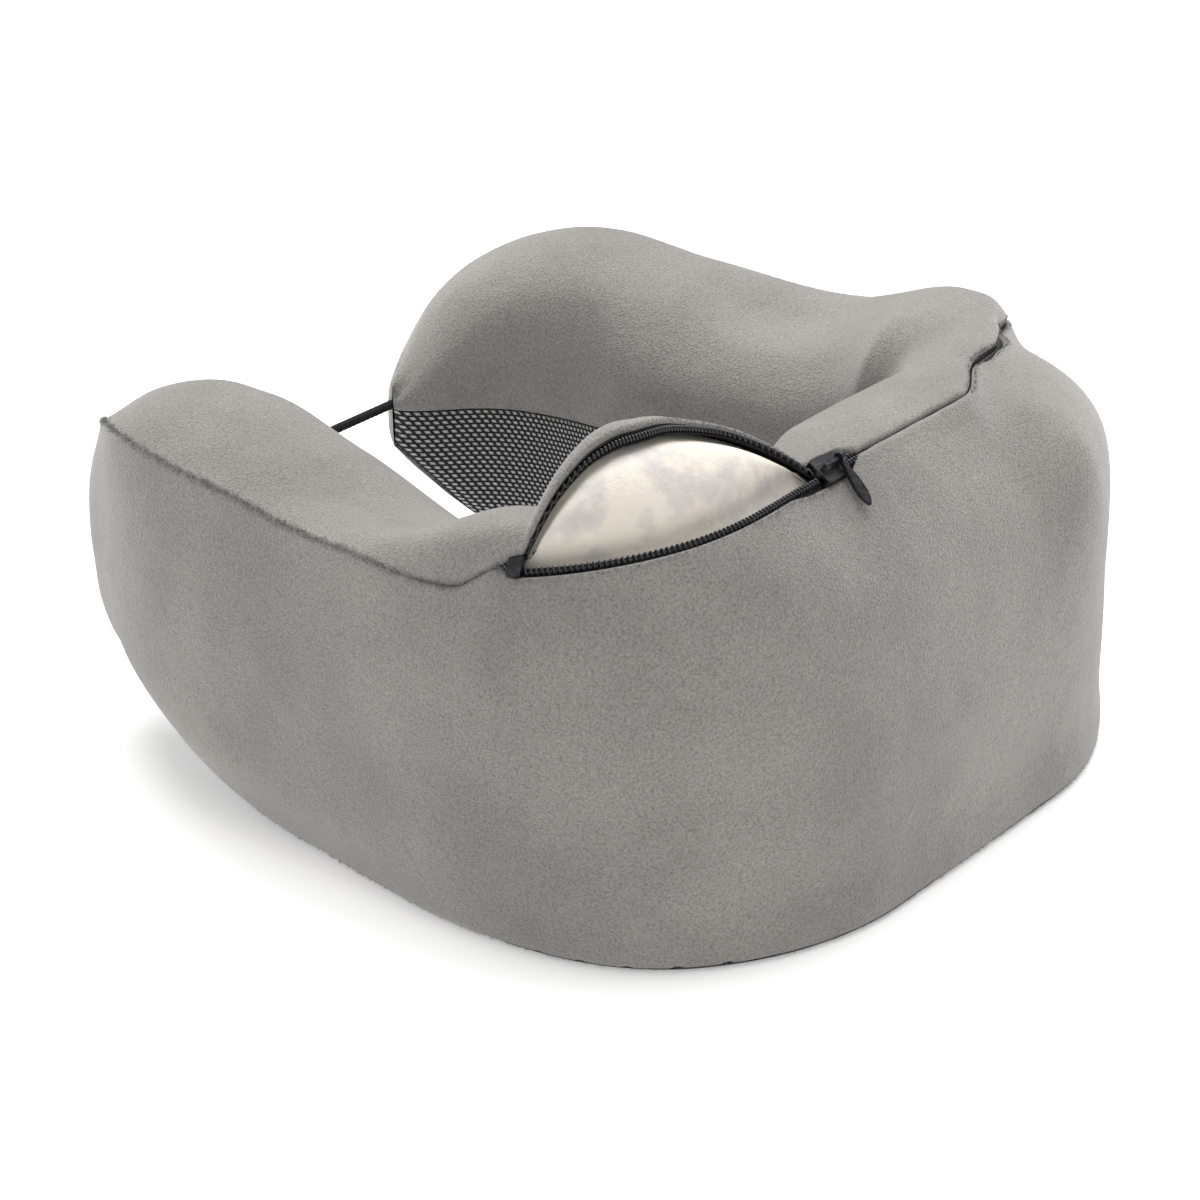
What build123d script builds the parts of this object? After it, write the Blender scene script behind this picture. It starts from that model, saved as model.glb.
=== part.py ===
"""U shaped travel neck pillow: a moulded foam core in a sewn, zipped cover, closed at the front by a cord.

Millimetres. +Z is up and the base rests on z = 0. The open front faces +Y and +X is the wearer's right.
"""
from build123d import *
import math
import os
from types import SimpleNamespace

import numpy as np

os.makedirs("parts", exist_ok=True)

# ---------------------------------------------------------------- spine of the U, seen from above
SPINE_LENGTH = 321.0       # from the middle of the back to the tip of a nose
BACK_Y = -99.0             # the straight part of the spine, across the back
CORNER_START = 35.0        # the back corner: where its bend starts, its length and its turn in degrees
CORNER_LENGTH = 135.0
CORNER_TURN = 103.0
FRONT_START = 223.0        # the arm's turn towards its nose
FRONT_LENGTH = 86.0
FRONT_TURN = 52.0

# ---------------------------------------------------------------- cross-section along the spine
# One column per station, from the straight back (first) to the tip of the nose (last).
STATION = [0.12, 0.27, 0.41, 0.56, 0.70, 0.83, 0.93, 1.0]
OUTER_WIDTH = [33, 26, 17, 21, 29, 36, 43, 27]                  # spine to the outer wall
INNER_WIDTH = [30, 34.5, 39, 42, 41, 30, 17, 12]                # spine to the inner wall
SEAM_RADIUS = [2, 8, 10.5, 18.5, 24, 33.5, 32, 11]              # spine to the top seam
SEAM_HEIGHT = [118.5, 116.5, 108.5, 102.5, 105.5, 106.5, 85, 75]
CROWN_RADIUS = [-10, -8, -6, -4, -4, -4, -3, -2]                # spine to the crown, on the inner side
CROWN_HEIGHT = [117.5, 118.5, 117.5, 101, 109.5, 114, 98, 69]
MESH_HEIGHT = [62, 62.5, 65, 68, 69, 68, 68, 67]                # top of the mesh panel, on the inner wall
BASE_LIFT = [0, 0, 0, 0, 4, 20.5, 23, 52]                       # how far the arm rises off the floor
FOOT_WIDTH = [1.08, 1.0, 0.72, 0.62, 0.62, 0.62, 0.70, 0.70]    # edge of the base, as a share of the wall
SHOULDER = [0.10, 0.10, 0.20, 0.38, 0.38, 0.38, 0.20, 0.20]     # how full the wall is below the seam
NOSE_START = 0.87          # the nose rounds off from here
NOSE_POWER = 2.3
NOSE_END = 0.98            # last station of the panels; the nose caps close the arms beyond it
WALL_END = 0.986           # the wall panel runs this far into its nose caps
CAP_SECTIONS = [(0.9815, 0.6), (0.986, 0.8), (0.9905, 1.8)]     # station of each and its inset

# ---------------------------------------------------------------- sewn cover
PANEL = 2.4                # velour with its backing
SEAM_GAP = 0.3             # each panel stops this far from a sewn seam
CORE_INSET = 3.2           # foam below the outside of the cover
CORE_TRIM = 2.6            # the foam's edge under the top seam is cut back this far on each side
CORE_TRIM_BELOW = 2.0      # and this far beside the inner edge of the base
MITRE = 1.6                # extra trim of a panel's inside at the top seam
BASE_INSET = (1.2, 2.9)    # the base stops this far from the mesh panel and from the foot of the wall
BASE_MITRE = 1.2           # extra trim of its inside beside the mesh panel
BASE_SUNK = 0.4            # its underside is made this low, and then cut off level with the floor

# ---------------------------------------------------------------- zipper, along the top seam
ZIP_END = 0.385            # the zipper runs between these stations, left and right
ZIP_GAP = 5.0              # cover edge to the middle of the zipper
ZIP_FADE = 0.07            # the gap closes over this stretch past each end
TAPE_DEPTH = 3.4           # top of the tapes below the crest of the seam
TAPE_THICK = 0.6
TAPE_WIDTH = 12.0
TAPE_FLAT = 4.7            # each tape is flat this far from the middle, and lies under its panel
TAPE_BEND = 9.0            # from this distance on, at the depth TAPE_UNDER
TAPE_UNDER = 2.6
COIL_DEPTH = 1.4           # top of the coil below the crest
COIL_WIDTH = 2.0           # one row of the coil
COIL_CLEAR = 0.25
TAPE_CLEAR = 0.45          # half the gap between the tapes
STOP_WIDTH = 5.2
STOP_HALF_LENGTH = 0.005   # in stations
CHANNEL_DEPTH = 6.6        # groove in the foam under the tapes and the slider
SLIDER_X = -28.0
SLIDER_LENGTH = 11.0
SLIDER_WIDE = 8.4          # at the end where the tapes part
SLIDER_NARROW = 7.0
SLIDER_TOP = -0.3          # top face of the slider, from the crest of the seam
SLIDER_PLATE = 0.9
SLIDER_CAVITY = 3.1        # between its two plates
SLIDER_FLANGE = 0.7
FLANGE_DROP = 1.5
SLIDER_CORNER = 0.9
SLIDER_SPACE = 0.4         # between the slider's ends and the coils
SLIDER_TRAVEL = 55.0       # along the straight back
WEDGE_WIDTH = 3.0          # parts the coils, above the tapes
WEDGE_LENGTH = 3.2
WEDGE_TIP = 0.4            # its width at the thin end
WEDGE_SET_BACK = 0.3       # from the slider's end
WEB_WIDTH = 0.6            # joins the wedge to the lower plate, between the tapes
BRIDGE_LENGTH = 8.6
BRIDGE_LEG = 1.0
BAR_HEIGHT = 1.7           # middle of the bridge's bar above the crest
BAR_WIDTH = 1.0
BAR_THICK = 0.8
EYE_RADIUS = 1.55
EYE_HOLE = 0.85
EYE_WIDTH = 1.2
PULL_LENGTH = 15.0
PULL_WIDTH = 3.6
PULL_THICK = 1.1
PULL_TILT = 17.0           # the pull hangs this far below the slider's own plane, in degrees
PULL_OFFSET = 2.6          # the eye hangs at this end of the bridge

# ---------------------------------------------------------------- mouth, where the zipper is open
MOUTH_START = 0.113        # stations on the left half
MOUTH_END = 0.375
MOUTH_RISE = 0.45          # share of the mouth over which each end opens
FLAP_LIFT = 0.90           # 1 would stand the top panel straight up from the inner wall
FLAP_CURL = 26.0           # the edge of the flap still curls outwards over this length
FOAM_SWELL = 8.0           # the uncovered foam stands higher

# ---------------------------------------------------------------- neck cord and its lock
CORD_RADIUS = 1.5
CORD_Y = 108.5
DROP_X = -16.0             # where the cord hangs down
CORD_ROUTE = [             # from the tab on the right nose, over the left loop, and down to the knot
    (31.9, CORD_Y, 68.0),
    (DROP_X, CORD_Y, 68.0),
    (DROP_X, CORD_Y, 26.0),
    (DROP_X - 2, CORD_Y + 2.5, 12.0),
]
CORD_BEND_RADII = [7.0, 30.0]
KNOT_RADIUS = 3.6
TAB_SIZE = (7.0, 8.0)      # across and up
TAB_REACH = 2.8            # spine to the middle of the tab
TAB_THICK = 1.6
TAB_CORNER = 1.2
LOOP_TIP_X = -11.0
LOOP_LENGTH = 26.0
LOOP_WIDTH = 9.0
LOOP_STRAP = 1.4
LOOP_Z = (57.0, 62.0)
LOCK_Z = 50.0              # axis of the lock's plunger, which points forwards
LOCK_RADIUS = 6.0
LOCK_BACK = 8.5            # from the cord to the lock's back, and to its front
LOCK_FRONT = 8.5
LOCK_BORE_DEPTH = 15.0
LOCK_HOLE_RADIUS = 2.2
LOCK_FILLET = 1.2
PLUNGER_RADIUS = 3.8
PLUNGER_CLEAR = 0.15
PLUNGER_HOLE_RADIUS = 2.5
PLUNGER_HOLE_SHIFT = 0.7   # the spring holds the plunger's hole this far off the cord
BUTTON_GAP = 1.5           # a press moves the plunger nearly this far
BUTTON_RADIUS = 4.6
BUTTON_THICK = 3.0
BUTTON_FILLET = 0.8
SPRING_LENGTH = 3.6
SPRING_RADIUS = 2.6
SPRING_WIRE = 0.35
SPRING_TURNS = 3
SPRING_CLEAR = 0.05        # between the spring's ends and what it pushes on


# ================================================================ shape of the pillow
def smooth(x):
    """Rises from 0 to 1 as x does, level at both ends."""
    x = min(max(x, 0.0), 1.0)
    return x * x * (3 - 2 * x)


def curve_through(knots, values, at, level_start=False):
    """Smooth curve through the values at their knots, read at the places in at."""
    knots = np.asarray(knots, float)
    values = np.asarray(values, float)
    slope = np.gradient(values, knots, axis=0)
    if level_start:
        slope[0] = 0
    at = np.atleast_1d(at)
    i = np.clip(np.searchsorted(knots, at, side="right") - 1, 0, len(knots) - 2)
    step = (knots[i + 1] - knots[i])[:, None]
    u = (at[:, None] - knots[i][:, None]) / step
    rise = u * u * (3 - 2 * u)
    start = u * (1 - u) ** 2 * step
    stop = u * u * (1 - u) * step
    return (1 - rise) * values[i] + rise * values[i + 1] + start * slope[i] - stop * slope[i + 1]


def spine_line(count=1201):
    """Arc length, x, y and outward heading in degrees along the left half of the spine."""
    s = np.linspace(0, SPINE_LENGTH, count)
    corner = np.array([smooth((v - CORNER_START) / CORNER_LENGTH) for v in s])
    front = np.array([smooth((v - FRONT_START) / FRONT_LENGTH) for v in s])
    heading = -90 - CORNER_TURN * corner - FRONT_TURN * front
    dx = np.sin(np.radians(heading))
    dy = -np.cos(np.radians(heading))
    step = s[1] - s[0]
    x = np.concatenate([[0], np.cumsum((dx[1:] + dx[:-1]) / 2) * step])
    y = BACK_Y + np.concatenate([[0], np.cumsum((dy[1:] + dy[:-1]) / 2) * step])
    return s, x, y, heading


SPINE = spine_line()
COLUMNS = np.array([OUTER_WIDTH, INNER_WIDTH, SEAM_RADIUS, SEAM_HEIGHT, CROWN_RADIUS, CROWN_HEIGHT,
                    MESH_HEIGHT, BASE_LIFT, FOOT_WIDTH, SHOULDER], float).T


def station(u):
    """Everything about the section at u, from -1 at the left nose, over the back at 0, to 1."""
    t = abs(u)
    side = -1 if u < 0 else 1
    s, x, y, heading = (np.interp(t * SPINE_LENGTH, SPINE[0], row) for row in SPINE)
    values = curve_through(STATION, COLUMNS, max(t, STATION[0]), level_start=True)[0]
    out, inn, seam_r, seam_z, crown_r, crown_z, mesh_z, lift, foot, shoulder = values
    nose = math.sqrt(1 - max(0.0, (t - NOSE_START) / (1 - NOSE_START)) ** NOSE_POWER)
    normal = (-side * math.cos(math.radians(heading)), math.sin(math.radians(heading)))
    return SimpleNamespace(
        u=u, x=-side * x, y=y, normal=normal, out=out * nose, inn=inn * nose,
        seam_r=min(seam_r, out) * nose, seam_z=seam_z, crown_r=crown_r * nose, crown_z=crown_z,
        mesh_z=mesh_z, lift=max(lift, 0.0), foot=foot, shoulder=shoulder)


def mouth(u):
    """How far the mouth is open at u, from 0 to 1, and 0 outside it."""
    w = (-u - MOUTH_START) / (MOUTH_END - MOUTH_START)
    return smooth(w / MOUTH_RISE) * smooth((1 - w) / MOUTH_RISE)


PER_SPAN = 12              # points between two control points of a section


def dense(control):
    """The smooth line through a section's control points, with PER_SPAN points to each span."""
    control = np.array(control, float)
    reach = np.hypot(*np.diff(control, axis=0).T) + 1e-3
    knots = np.concatenate([[0], np.cumsum(reach)])
    spans = [np.linspace(a, b, PER_SPAN, endpoint=False) for a, b in zip(knots, knots[1:])]
    return curve_through(knots, control, np.concatenate(spans + [knots[-1:]]))


def wall_run(p):
    """Base and outer wall: inner edge of the base, under the spine, foot, three on the wall, top seam."""
    height = p.seam_z - p.lift
    reach = p.out - p.seam_r
    line = dense([
        (-0.72 * p.inn, p.lift + 0.6),
        (0, p.lift),
        (p.out * (p.foot - 0.05), p.lift + 0.6),
        (p.out * (0.72 + 0.27 * p.foot), p.lift + 0.14 * height),
        (p.out, p.lift + 0.42 * height),
        (p.seam_r + reach * (0.5 + p.shoulder), p.lift + 0.80 * height),
        (p.seam_r, p.seam_z)])
    line[:, 1] = np.maximum(line[:, 1], p.lift)
    return line


def top_run(p, swell=0.0):
    """Top and inner wall: top seam, two over the crown, two on the inner wall, mesh seam, three below."""
    below = p.mesh_z - p.lift
    above = p.crown_z - p.mesh_z
    fullness = 2 * min(1.0, (p.seam_r - p.crown_r) / 20) + 0.22 * abs(p.crown_z - p.seam_z)
    return dense([
        (p.seam_r, p.seam_z),
        ((p.seam_r + p.crown_r + fullness) / 2, (p.seam_z + p.crown_z) / 2 + fullness + 0.5 * swell),
        (p.crown_r, p.crown_z + 0.8 * swell),
        (-0.62 * p.inn + 0.2 * p.crown_r, p.mesh_z + 0.84 * above + swell),
        (-0.93 * p.inn, p.mesh_z + 0.5 * above + 0.3 * swell),
        (-p.inn, p.mesh_z),
        (-0.98 * p.inn, p.lift + 0.42 * below),
        (-0.88 * p.inn, p.lift + 0.12 * below),
        (-0.72 * p.inn, p.lift + 0.6)])


TOP_SPANS = 5              # spans of top_run that belong to the top panel


def flap_run(p):
    """top_run's line down to the mesh seam, unrolled upwards where the mouth is open. Lengths stay."""
    line = top_run(p)[:TOP_SPANS * PER_SPAN + 1]
    amount = FLAP_LIFT * mouth(p.u)
    if amount == 0:
        return line
    step = np.diff(line[::-1], axis=0)
    length = np.hypot(*step.T)
    angle = np.unwrap(np.arctan2(step[:, 1], step[:, 0]))
    from_edge = length.sum() - np.cumsum(length)
    curl = np.clip(from_edge / FLAP_CURL, 0.25, 1.0)
    angle += (math.pi / 2 - angle) * amount * curl
    moves = np.stack([length * np.cos(angle), length * np.sin(angle)], axis=1)
    return (line[-1] + np.concatenate([[[0, 0]], np.cumsum(moves, axis=0)]))[::-1]


def part_of(line, first, last, trim_first=0.0, trim_last=0.0, count=9):
    """The line from control point first to last, shortened at its ends, as count even points."""
    line = line[first * PER_SPAN:last * PER_SPAN + 1]
    reach = np.concatenate([[0], np.cumsum(np.hypot(*np.diff(line, axis=0).T))])
    at = np.linspace(trim_first, reach[-1] - trim_last, count)
    return np.stack([np.interp(at, reach, line[:, 0]), np.interp(at, reach, line[:, 1])], axis=1)


def inward(line, depth):
    """The line moved into the pillow by depth. Section lines run anticlockwise."""
    along = np.gradient(line, axis=0)
    along /= np.hypot(*along.T)[:, None]
    return line + depth * np.stack([-along[:, 1], along[:, 0]], axis=1)


def section_plane(p):
    """Plane of a section: its x points outwards from the spine and its y is up."""
    return Plane(origin=(p.x, p.y, 0), x_dir=(*p.normal, 0), z_dir=(p.normal[1], -p.normal[0], 0))


def strip_face(p, outer, inner):
    """Closed face between two section lines that run the same way."""
    with BuildSketch(section_plane(p)) as face:
        with BuildLine():
            Spline(*[tuple(v) for v in outer])
            Line(tuple(outer[-1]), tuple(inner[-1]))
            Spline(*[tuple(v) for v in inner[::-1]])
            Line(tuple(inner[0]), tuple(outer[0]))
        make_face()
    return face.sketch


def stations(first, last, spacing=0.04):
    count = max(3, int(round((last - first) / spacing)) + 1)
    return [station(u) for u in np.linspace(first, last, count)]


def zip_gap(u):
    """Distance from the top seam's line to the edge of the cover panels at u."""
    fade = smooth((abs(u) - ZIP_END) / ZIP_FADE)
    return ZIP_GAP + (SEAM_GAP - ZIP_GAP) * fade


WHOLE = stations(-NOSE_END, NOSE_END)

# ================================================================ foam core
def core_face(p):
    """Outline of the foam: the pillow's section less the inset, with its two corners cut."""
    swell = FOAM_SWELL * mouth(p.u)
    wall = inward(part_of(wall_run(p), 0, 6, CORE_TRIM_BELOW, CORE_TRIM, 15), CORE_INSET)
    wall[:, 1] = np.maximum(wall[:, 1], p.lift + CORE_INSET)
    top = inward(part_of(top_run(p, swell), 0, 8, CORE_TRIM, CORE_TRIM_BELOW, 17), CORE_INSET)
    with BuildSketch(section_plane(p)) as face:
        with BuildLine():
            Spline(*[tuple(v) for v in wall])
            Line(tuple(wall[-1]), tuple(top[0]))
            Spline(*[tuple(v) for v in top])
            Line(tuple(top[-1]), tuple(wall[0]))
        make_face()
    return face.sketch


def across_seam(p, reach, depth_out, depth_in):
    """Face that straddles the top seam by reach on both sides, between two depths."""
    wall = near_end(wall_run(p), reach, 0.0)
    top = near_end(top_run(p)[::-1], reach, 0.0)[::-1]
    line = np.concatenate([wall, top[1:]])
    return strip_face(p, inward(line, depth_out), inward(line, depth_in))


def near_end(line, start, stop, count=4):
    """The stretch of a section line from start to stop before its end."""
    reach = np.concatenate([[0], np.cumsum(np.hypot(*np.diff(line, axis=0).T))])
    at = np.linspace(reach[-1] - start, reach[-1] - stop, count)
    return np.stack([np.interp(at, reach, line[:, 0]), np.interp(at, reach, line[:, 1])], axis=1)


zip_stations = stations(-ZIP_END, ZIP_END, 0.02)
channel_stations = stations(-ZIP_END - 0.01, ZIP_END + 0.01)

with BuildPart() as foam_core:
    loft([core_face(p) for p in WHOLE])
    loft([across_seam(p, TAPE_WIDTH + 1, -3, CHANNEL_DEPTH) for p in channel_stations], mode=Mode.SUBTRACT)


# ================================================================ cover panels
def panel_face(p, line, first, last, trim_first, trim_last, inside_first=0.0, inside_last=0.0):
    """Section of a panel: the run's stretch, PANEL thick, its inside cut back further at each end."""
    outer = part_of(line, first, last, trim_first, trim_last)
    inner = part_of(line, first, last, trim_first + inside_first, trim_last + inside_last)
    return strip_face(p, outer, inward(inner, PANEL))


def whole_face(p, inset):
    """The pillow's whole section, inset."""
    trim = SEAM_GAP + inset
    wall = inward(part_of(wall_run(p), 0, 6, trim, trim, 13), inset)
    top = inward(part_of(top_run(p), 0, 8, trim, trim, 13), inset)
    with BuildSketch(section_plane(p)) as face:
        with BuildLine():
            Spline(*[tuple(v) for v in wall])
            Line(tuple(wall[-1]), tuple(top[0]))
            Spline(*[tuple(v) for v in top])
            Line(tuple(top[-1]), tuple(wall[0]))
        make_face()
    return face.sketch


wall_stations = stations(-WALL_END, WALL_END)

with BuildPart() as outer_panel:
    loft([panel_face(p, wall_run(p), 2, 6, SEAM_GAP, zip_gap(p.u), 0.0, MITRE) for p in wall_stations])
    for side in (-1, 1):
        loft([whole_face(station(side * u), inset) for u, inset in CAP_SECTIONS])

with BuildPart() as top_panel:
    loft([panel_face(p, flap_run(p), 0, 5, zip_gap(p.u), SEAM_GAP, MITRE, 0.0) for p in WHOLE])

with BuildPart() as mesh_panel:
    loft([panel_face(p, top_run(p), 5, 8, SEAM_GAP, SEAM_GAP + 0.6, 0.0, 1.2) for p in WHOLE])


def base_face(p):
    """Section of the base: flat and slightly low, so that one cut makes its whole underside level."""
    outer = part_of(wall_run(p), 0, 2, *BASE_INSET)
    inner = part_of(wall_run(p), 0, 2, BASE_INSET[0] + BASE_MITRE, BASE_INSET[1])
    outer[:, 1] = p.lift - BASE_SUNK
    inner[:, 1] = p.lift + PANEL
    return strip_face(p, outer, inner)


with BuildPart() as base_panel:
    loft([base_face(p) for p in WHOLE])
    split(bisect_by=Plane.XY, keep=Keep.TOP)


# ================================================================ zipper
def unit(v):
    return v / np.hypot(*v)


def zip_frame(p, upper):
    """Edge of the zipper at a section, the way across it towards the top panel, and its outward normal."""
    wall = wall_run(p)
    top = top_run(p)
    across = unit(unit(wall[-1] - wall[-3]) + unit(top[2] - top[0]))
    edge = wall[-1]
    if upper:
        flap = flap_run(p)
        across = unit((1 - mouth(p.u)) * across + mouth(p.u) * unit(flap[2] - flap[0]))
        edge = flap[0]
    return edge, across, np.array([across[1], -across[0]])


def tape_face(p, upper):
    """Section of a tape: flat under the slider, then bent under the edge of its panel."""
    edge, across, normal = zip_frame(p, upper)
    side = 1 if upper else -1
    near = [edge + side * y * across - TAPE_DEPTH * normal for y in (TAPE_CLEAR, TAPE_FLAT)]
    run = flap_run(p)[::-1] if upper else wall_run(p)
    far = near_end(run, TAPE_BEND, TAPE_WIDTH, 2)
    far = inward(far if upper else far[::-1], TAPE_UNDER)
    outer = np.concatenate([near, far] if upper else [far, near[::-1]])
    inner = inward(outer, TAPE_THICK)
    with BuildSketch(section_plane(p)) as face:
        with BuildLine():
            Polyline(*[tuple(v) for v in (*outer, *inner[::-1])], close=True)
        make_face()
    return face.sketch


def coil_face(p, upper, first, last, top=COIL_DEPTH, bottom=TAPE_DEPTH):
    """Block on the zipper from first to last across it, towards the top panel, between two depths."""
    edge, across, normal = zip_frame(p, upper)
    outer = np.array([edge + y * across - top * normal for y in (first, last)])
    inner = np.array([edge + y * across - bottom * normal for y in (first, last)])
    return strip_face(p, outer, inner)


def back_station(x):
    """Station number on the straight back at x."""
    return x / SPINE_LENGTH


OPEN_END = back_station(SLIDER_X - SLIDER_LENGTH / 2 - SLIDER_SPACE)
CLOSED_START = back_station(SLIDER_X + SLIDER_LENGTH / 2 + SLIDER_SPACE)
STOP_AT = ZIP_END - STOP_HALF_LENGTH
COIL_OUTSIDE = COIL_WIDTH + COIL_CLEAR
open_stations = stations(-STOP_AT + 2 * STOP_HALF_LENGTH, OPEN_END, 0.02)
SLIDE_END = back_station(SLIDER_X + SLIDER_TRAVEL + SLIDER_LENGTH / 2 + SLIDER_SPACE)
ahead_stations = stations(CLOSED_START, SLIDE_END)
closed_stations = stations(SLIDE_END + 0.0005, STOP_AT - 2 * STOP_HALF_LENGTH)

with BuildPart() as zipper_tape_lower:
    loft([tape_face(p, False) for p in zip_stations], ruled=True)

with BuildPart() as zipper_tape_upper:
    loft([tape_face(p, True) for p in zip_stations], ruled=True)

with BuildPart() as zipper_coil_lower:
    loft([coil_face(p, False, -COIL_OUTSIDE, -COIL_CLEAR) for p in open_stations])

with BuildPart() as zipper_coil_upper:
    loft([coil_face(p, True, COIL_CLEAR, COIL_OUTSIDE) for p in open_stations])

with BuildPart() as zipper_coil_ahead:
    loft([coil_face(p, False, -COIL_WIDTH, COIL_WIDTH) for p in ahead_stations])

with BuildPart() as zipper_coil_closed:
    loft([coil_face(p, False, -COIL_WIDTH, COIL_WIDTH) for p in closed_stations])


def stop_block(side):
    """Sections of the stop that joins both ends of the tapes."""
    first = side * STOP_AT - STOP_HALF_LENGTH
    last = side * STOP_AT + STOP_HALF_LENGTH
    return [coil_face(p, False, -STOP_WIDTH / 2, STOP_WIDTH / 2, COIL_DEPTH - 0.5)
            for p in (station(first), station(last))]


with BuildPart() as zipper_stop_left:
    loft(stop_block(-1))

with BuildPart() as zipper_stop_right:
    loft(stop_block(1))

# slider: its plane lies on the crest of the seam, x along the zipper and z outwards
edge, across, normal = zip_frame(station(0), False)
SLIDER_PLANE = Plane(origin=(SLIDER_X, BACK_Y - edge[0], edge[1]), x_dir=(1, 0, 0),
                     z_dir=(0, -normal[0], normal[1]))
SLIDER_BOTTOM = SLIDER_TOP - 2 * SLIDER_PLATE - SLIDER_CAVITY


def plate(bottom, top, inset=0.0):
    """Block with the slider's plan: wide where the tapes part, narrow where they are joined."""
    half = SLIDER_LENGTH / 2 - inset
    wide = SLIDER_WIDE / 2 - inset
    narrow = SLIDER_NARROW / 2 - inset
    with BuildPart() as block:
        with BuildSketch(SLIDER_PLANE.offset(bottom)):
            with BuildLine():
                Polyline((-half, -wide), (-half, wide), (-half / 3, wide), (half, narrow),
                         (half, -narrow), (-half / 3, -wide), close=True)
            make_face()
            fillet(vertices(), SLIDER_CORNER)
        extrude(amount=top - bottom)
    return block.part


def block_on(x, y, z):
    """Box on the slider's plane, between two values on each of its axes."""
    with BuildPart() as block:
        with BuildSketch(SLIDER_PLANE.offset(z[0])):
            with Locations(((x[0] + x[1]) / 2, (y[0] + y[1]) / 2)):
                Rectangle(x[1] - x[0], y[1] - y[0])
        extrude(amount=z[1] - z[0])
    return block.part


with BuildPart() as zipper_slider:
    half = SLIDER_LENGTH / 2
    roof = SLIDER_TOP - SLIDER_PLATE
    floor = SLIDER_BOTTOM + SLIDER_PLATE
    # upper plate with its flanges, and the way for the coils left open
    add(plate(roof - FLANGE_DROP, SLIDER_TOP))
    coil_way = SLIDER_NARROW / 2 - SLIDER_FLANGE
    add(block_on((-half - 1, half + 1), (-coil_way, coil_way), (roof - FLANGE_DROP - 1, roof)),
        mode=Mode.SUBTRACT)
    add(plate(SLIDER_BOTTOM, floor))
    # wedge between the coils, on a thin web between the tapes
    wedge_bottom = -TAPE_DEPTH + 0.1
    with BuildSketch(SLIDER_PLANE.offset(wedge_bottom)):
        with BuildLine():
            Polyline((-half + WEDGE_SET_BACK, -WEDGE_WIDTH / 2), (-half + WEDGE_SET_BACK, WEDGE_WIDTH / 2),
                     (-half + WEDGE_LENGTH, WEDGE_TIP / 2), (-half + WEDGE_LENGTH, -WEDGE_TIP / 2), close=True)
        make_face()
    extrude(amount=roof - wedge_bottom)
    add(block_on((-half + WEDGE_SET_BACK, -half + WEDGE_LENGTH), (-WEB_WIDTH / 2, WEB_WIDTH / 2),
                 (floor, wedge_bottom)))
    # the bridge that the pull hangs on
    leg = BRIDGE_LENGTH / 2 - BRIDGE_LEG
    bar = (BAR_HEIGHT - BAR_THICK / 2, BAR_HEIGHT + BAR_THICK / 2)
    for x in ((-BRIDGE_LENGTH / 2, -leg), (leg, BRIDGE_LENGTH / 2)):
        add(block_on(x, (-BAR_WIDTH / 2, BAR_WIDTH / 2), (SLIDER_TOP, bar[1])))
    add(block_on((-BRIDGE_LENGTH / 2, BRIDGE_LENGTH / 2), (-BAR_WIDTH / 2, BAR_WIDTH / 2), bar))

tilt = math.radians(PULL_TILT)
PULL_HINGE = SLIDER_PLANE.from_local_coords(Vector(PULL_OFFSET, 0, BAR_HEIGHT))
pull_along = SLIDER_PLANE.y_dir * -math.cos(tilt) - SLIDER_PLANE.z_dir * math.sin(tilt)
pull_normal = SLIDER_PLANE.z_dir * math.cos(tilt) - SLIDER_PLANE.y_dir * math.sin(tilt)

with BuildPart() as zipper_pull_tab:
    side_on = Plane(origin=PULL_HINGE - Vector(EYE_WIDTH / 2, 0, 0), x_dir=(0, 1, 0), z_dir=(1, 0, 0))
    flat_on = Plane(origin=PULL_HINGE - pull_normal * (PULL_THICK / 2), x_dir=pull_along, z_dir=pull_normal)
    with BuildSketch(flat_on):
        with BuildLine():
            Spline((1.15, 0.55), (0.36 * PULL_LENGTH, 0.72 * PULL_WIDTH / 2),
                   (0.66 * PULL_LENGTH, PULL_WIDTH / 2), (0.90 * PULL_LENGTH, 0.62 * PULL_WIDTH / 2),
                   (PULL_LENGTH, 0))
            mirror(about=Plane.XZ)
            Line((1.15, 0.55), (1.15, -0.55))
        make_face()
    extrude(amount=PULL_THICK)
    with BuildSketch(side_on):
        Circle(EYE_RADIUS)
    extrude(amount=EYE_WIDTH)
    with BuildSketch(side_on.offset(-1)):
        Circle(EYE_HOLE)
    extrude(amount=EYE_WIDTH + 2, mode=Mode.SUBTRACT)

# ================================================================ neck cord, its ends and its lock
with BuildPart() as neck_cord:
    with BuildLine() as route:
        FilletPolyline(*CORD_ROUTE, radius=CORD_BEND_RADII)
    with BuildSketch(Plane(origin=CORD_ROUTE[0], z_dir=(-1, 0, 0))):
        Circle(CORD_RADIUS)
    sweep(path=route.wires()[0])

with BuildPart() as cord_knot:
    with Locations(CORD_ROUTE[-1]):
        Sphere(KNOT_RADIUS)

nose_face = CAP_SECTIONS[-1][0]
right_face = section_plane(station(nose_face))
left_face = section_plane(station(-nose_face))

with BuildPart() as cord_anchor:
    with BuildSketch(right_face):
        with Locations((TAB_REACH, CORD_ROUTE[0][2])):
            RectangleRounded(*TAB_SIZE, TAB_CORNER)
    extrude(amount=-TAB_THICK)

with BuildPart() as cord_loop:
    with BuildSketch(Plane.XY.offset(LOOP_Z[0])):
        with Locations((LOOP_TIP_X - LOOP_LENGTH / 2, CORD_Y)):
            SlotOverall(LOOP_LENGTH, LOOP_WIDTH)
            SlotOverall(LOOP_LENGTH - 2 * LOOP_STRAP, LOOP_WIDTH - 2 * LOOP_STRAP, mode=Mode.SUBTRACT)
    extrude(amount=LOOP_Z[1] - LOOP_Z[0])
    split(bisect_by=left_face, keep=Keep.TOP)

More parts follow.
